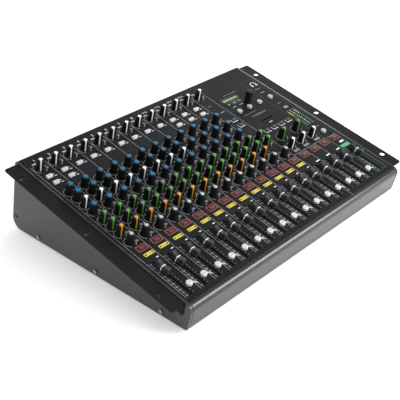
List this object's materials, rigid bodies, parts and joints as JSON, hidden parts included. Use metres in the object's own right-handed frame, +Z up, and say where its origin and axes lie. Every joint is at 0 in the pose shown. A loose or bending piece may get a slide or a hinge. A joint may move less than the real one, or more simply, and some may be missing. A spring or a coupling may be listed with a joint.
{
  "type": "mixing console",
  "caption": "Sloped desk-top audio mixing console with rack ears, rows of turning knobs, sliding faders, push buttons, a level meter and rear sockets.",
  "frame": {"origin": "middle of the footprint, on the surface that the feet stand on", "axes": "+X to the operator's right, +Y away from the operator, +Z up"},
  "size_m": [0.4826, 0.3332, 0.122],
  "materials": {
    "panel_black": "fine texture powder coat",
    "chassis_grey": "satin",
    "bracket_black": "fine texture powder coat",
    "rear_black": "satin",
    "base_steel": "satin",
    "rubber": "matt",
    "screw_steel": "zinc plated",
    "knob_black": "soft touch",
    "button_white": "satin",
    "button_red": "translucent",
    "button_dark": "satin",
    "fader_grey": "satin",
    "display_glass": "gloss",
    "led": "diffused",
    "housing": "moulded",
    "board_green": "solder mask",
    "connector_black": "moulded"
  },
  "bodies": {
    "gain_knob_1": {"gain_knob_1": "knob_black"},
    "tone_knob_1": {"tone_knob_1": "knob_black"},
    "tone_knob_2": {"tone_knob_2": "knob_black"},
    "tone_knob_3": {"tone_knob_3": "knob_black"},
    "tone_knob_4": {"tone_knob_4": "knob_black"},
    "send_knob_1": {"send_knob_1": "knob_black"},
    "send_knob_2": {"send_knob_2": "knob_black"},
    "send_knob_3": {"send_knob_3": "knob_black"},
    "pan_knob_1": {"pan_knob_1": "knob_black"},
    "monitor_knob_1": {"monitor_knob_1": "knob_black"},
    "monitor_knob_2": {"monitor_knob_2": "knob_black"},
    "output_knob_1": {"output_knob_1": "knob_black"},
    "output_knob_2": {"output_knob_2": "knob_black"},
    "output_knob_3": {"output_knob_3": "knob_black"},
    "encoder_knob": {"encoder_knob": "knob_black"},
    "fader_1": {"fader_1": "fader_grey"},
    "channel_buttons": {"channel_buttons": "button_white"},
    "mute_buttons": {"mute_buttons": "button_red"},
    "solo_buttons": {"solo_buttons": "button_white"},
    "effects_buttons": {"effects_buttons": "button_white"},
    "transport_buttons": {"transport_buttons": "button_dark"},
    "power_rocker": {"power_rocker": "button_dark"},
    "fader_2": {"fader_2": "fader_grey"},
    "fader_3": {"fader_3": "fader_grey"},
    "fader_4": {"fader_4": "fader_grey"},
    "fader_5": {"fader_5": "fader_grey"},
    "fader_6": {"fader_6": "fader_grey"},
    "fader_7": {"fader_7": "fader_grey"},
    "fader_8": {"fader_8": "fader_grey"},
    "fader_9": {"fader_9": "fader_grey"},
    "fader_10": {"fader_10": "fader_grey"},
    "fader_11": {"fader_11": "fader_grey"},
    "fader_12": {"fader_12": "fader_grey"},
    "fader_13": {"fader_13": "fader_grey"},
    "fader_14": {"fader_14": "fader_grey"},
    "fader_15": {"fader_15": "fader_grey"},
    "fader_16": {"fader_16": "fader_grey"},
    "fader_17": {"fader_17": "fader_grey"},
    "console": {"base_plate": "base_steel", "control_housings": "housing", "control_panel": "panel_black", "display_window": "display_glass", "fader_housings": "housing", "feet": "rubber", "front_fascia": "chassis_grey", "gain_knobs": "knob_black", "jack_sockets": "connector_black", "left_cheek": "chassis_grey", "level_meter": "led", "main_board": "board_green", "power_inlet": "connector_black", "power_supply": "housing", "rack_ear_left": "bracket_black", "rack_ear_right": "bracket_black", "rear_panel": "rear_black", "right_cheek": "chassis_grey", "screws": "screw_steel", "send_knobs": "knob_black", "tone_knobs": "knob_black", "xlr_sockets": "connector_black"}
  },
  "joints": [
    {"name": "gain_knob_1_turn", "type": "hinge", "parent": "console", "child": "gain_knob_1", "pos_m": [-0.203, 0.11638, 0.10638], "axis": [0, -0.2241, 0.9746], "range_deg": [-300, 0]},
    {"name": "tone_knob_1_turn", "type": "hinge", "parent": "console", "child": "tone_knob_1", "pos_m": [-0.203, 0.05927, 0.09325], "axis": [0, -0.2241, 0.9746], "range_deg": [-150, 150]},
    {"name": "tone_knob_2_turn", "type": "hinge", "parent": "console", "child": "tone_knob_2", "pos_m": [-0.203, 0.04465, 0.08989], "axis": [0, -0.2241, 0.9746], "range_deg": [-150, 150]},
    {"name": "tone_knob_3_turn", "type": "hinge", "parent": "console", "child": "tone_knob_3", "pos_m": [-0.203, 0.03003, 0.08652], "axis": [0, -0.2241, 0.9746], "range_deg": [-300, 0]},
    {"name": "tone_knob_4_turn", "type": "hinge", "parent": "console", "child": "tone_knob_4", "pos_m": [-0.203, 0.01541, 0.08316], "axis": [0, -0.2241, 0.9746], "range_deg": [-150, 150]},
    {"name": "send_knob_1_turn", "type": "hinge", "parent": "console", "child": "send_knob_1", "pos_m": [-0.203, -0.0033, 0.07886], "axis": [0, -0.2241, 0.9746], "range_deg": [-300, 0]},
    {"name": "send_knob_2_turn", "type": "hinge", "parent": "console", "child": "send_knob_2", "pos_m": [-0.203, -0.01792, 0.0755], "axis": [0, -0.2241, 0.9746], "range_deg": [-300, 0]},
    {"name": "send_knob_3_turn", "type": "hinge", "parent": "console", "child": "send_knob_3", "pos_m": [-0.203, -0.03254, 0.07214], "axis": [0, -0.2241, 0.9746], "range_deg": [-300, 0]},
    {"name": "pan_knob_1_turn", "type": "hinge", "parent": "console", "child": "pan_knob_1", "pos_m": [-0.203, -0.04988, 0.06815], "axis": [0, -0.2241, 0.9746], "range_deg": [-150, 150]},
    {"name": "monitor_knob_1_turn", "type": "hinge", "parent": "console", "child": "monitor_knob_1", "pos_m": [0.1315, -0.01909, 0.07523], "axis": [0, -0.2241, 0.9746], "range_deg": [-300, 0]},
    {"name": "monitor_knob_2_turn", "type": "hinge", "parent": "console", "child": "monitor_knob_2", "pos_m": [0.1655, -0.01909, 0.07523], "axis": [0, -0.2241, 0.9746], "range_deg": [-300, 0]},
    {"name": "output_knob_1_turn", "type": "hinge", "parent": "console", "child": "output_knob_1", "pos_m": [0.1247, -0.0417, 0.07003], "axis": [0, -0.2241, 0.9746], "range_deg": [-300, 0]},
    {"name": "output_knob_2_turn", "type": "hinge", "parent": "console", "child": "output_knob_2", "pos_m": [0.1497, -0.0417, 0.07003], "axis": [0, -0.2241, 0.9746], "range_deg": [-300, 0]},
    {"name": "output_knob_3_turn", "type": "hinge", "parent": "console", "child": "output_knob_3", "pos_m": [0.1747, -0.0417, 0.07003], "axis": [0, -0.2241, 0.9746], "range_deg": [-300, 0]},
    {"name": "encoder_knob_turn", "type": "hinge", "parent": "console", "child": "encoder_knob", "pos_m": [0.1575, 0.06863, 0.0954], "axis": [0, -0.2241, 0.9746], "continuous": true},
    {"name": "fader_1_slide", "type": "slide", "parent": "console", "child": "fader_1", "axis": [0, 0.9746, 0.2241], "range_m": [-0.045, 0.015]},
    {"name": "channel_buttons_press", "type": "slide", "parent": "console", "child": "channel_buttons", "axis": [0, 0.2241, -0.9746], "range_m": [0, 0.002], "stiffness_N_per_m": 400},
    {"name": "mute_buttons_press", "type": "slide", "parent": "console", "child": "mute_buttons", "axis": [0, 0.2241, -0.9746], "range_m": [0, 0.0008], "stiffness_N_per_m": 400},
    {"name": "solo_buttons_press", "type": "slide", "parent": "console", "child": "solo_buttons", "axis": [0, 0.2241, -0.9746], "range_m": [0, 0.0015], "stiffness_N_per_m": 400},
    {"name": "effects_buttons_press", "type": "slide", "parent": "console", "child": "effects_buttons", "axis": [0, 0.2241, -0.9746], "range_m": [0, 0.0015], "stiffness_N_per_m": 300},
    {"name": "transport_buttons_press", "type": "slide", "parent": "console", "child": "transport_buttons", "axis": [0, 0.2241, -0.9746], "range_m": [0, 0.001], "stiffness_N_per_m": 300},
    {"name": "power_rocker_tilt", "type": "hinge", "parent": "console", "child": "power_rocker", "pos_m": [0.185, 0.15789, 0.0441], "axis": [1, 0, 0], "range_deg": [0, 12]},
    {"name": "fader_2_slide", "type": "slide", "parent": "console", "child": "fader_2", "axis": [0, 0.9746, 0.2241], "range_m": [-0.045, 0.015]},
    {"name": "fader_3_slide", "type": "slide", "parent": "console", "child": "fader_3", "axis": [0, 0.9746, 0.2241], "range_m": [-0.045, 0.015]},
    {"name": "fader_4_slide", "type": "slide", "parent": "console", "child": "fader_4", "axis": [0, 0.9746, 0.2241], "range_m": [-0.045, 0.015]},
    {"name": "fader_5_slide", "type": "slide", "parent": "console", "child": "fader_5", "axis": [0, 0.9746, 0.2241], "range_m": [-0.045, 0.015]},
    {"name": "fader_6_slide", "type": "slide", "parent": "console", "child": "fader_6", "axis": [0, 0.9746, 0.2241], "range_m": [-0.045, 0.015]},
    {"name": "fader_7_slide", "type": "slide", "parent": "console", "child": "fader_7", "axis": [0, 0.9746, 0.2241], "range_m": [-0.045, 0.015]},
    {"name": "fader_8_slide", "type": "slide", "parent": "console", "child": "fader_8", "axis": [0, 0.9746, 0.2241], "range_m": [-0.045, 0.015]},
    {"name": "fader_9_slide", "type": "slide", "parent": "console", "child": "fader_9", "axis": [0, 0.9746, 0.2241], "range_m": [-0.045, 0.015]},
    {"name": "fader_10_slide", "type": "slide", "parent": "console", "child": "fader_10", "axis": [0, 0.9746, 0.2241], "range_m": [-0.045, 0.015]},
    {"name": "fader_11_slide", "type": "slide", "parent": "console", "child": "fader_11", "axis": [0, 0.9746, 0.2241], "range_m": [-0.045, 0.015]},
    {"name": "fader_12_slide", "type": "slide", "parent": "console", "child": "fader_12", "axis": [0, 0.9746, 0.2241], "range_m": [-0.045, 0.015]},
    {"name": "fader_13_slide", "type": "slide", "parent": "console", "child": "fader_13", "axis": [0, 0.9746, 0.2241], "range_m": [-0.045, 0.015]},
    {"name": "fader_14_slide", "type": "slide", "parent": "console", "child": "fader_14", "axis": [0, 0.9746, 0.2241], "range_m": [-0.045, 0.015]},
    {"name": "fader_15_slide", "type": "slide", "parent": "console", "child": "fader_15", "axis": [0, 0.9746, 0.2241], "range_m": [-0.045, 0.015]},
    {"name": "fader_16_slide", "type": "slide", "parent": "console", "child": "fader_16", "axis": [0, 0.9746, 0.2241], "range_m": [-0.045, 0.015]},
    {"name": "fader_17_slide", "type": "slide", "parent": "console", "child": "fader_17", "axis": [0, 0.9746, 0.2241], "range_m": [-0.045, 0.015]}
  ]
}
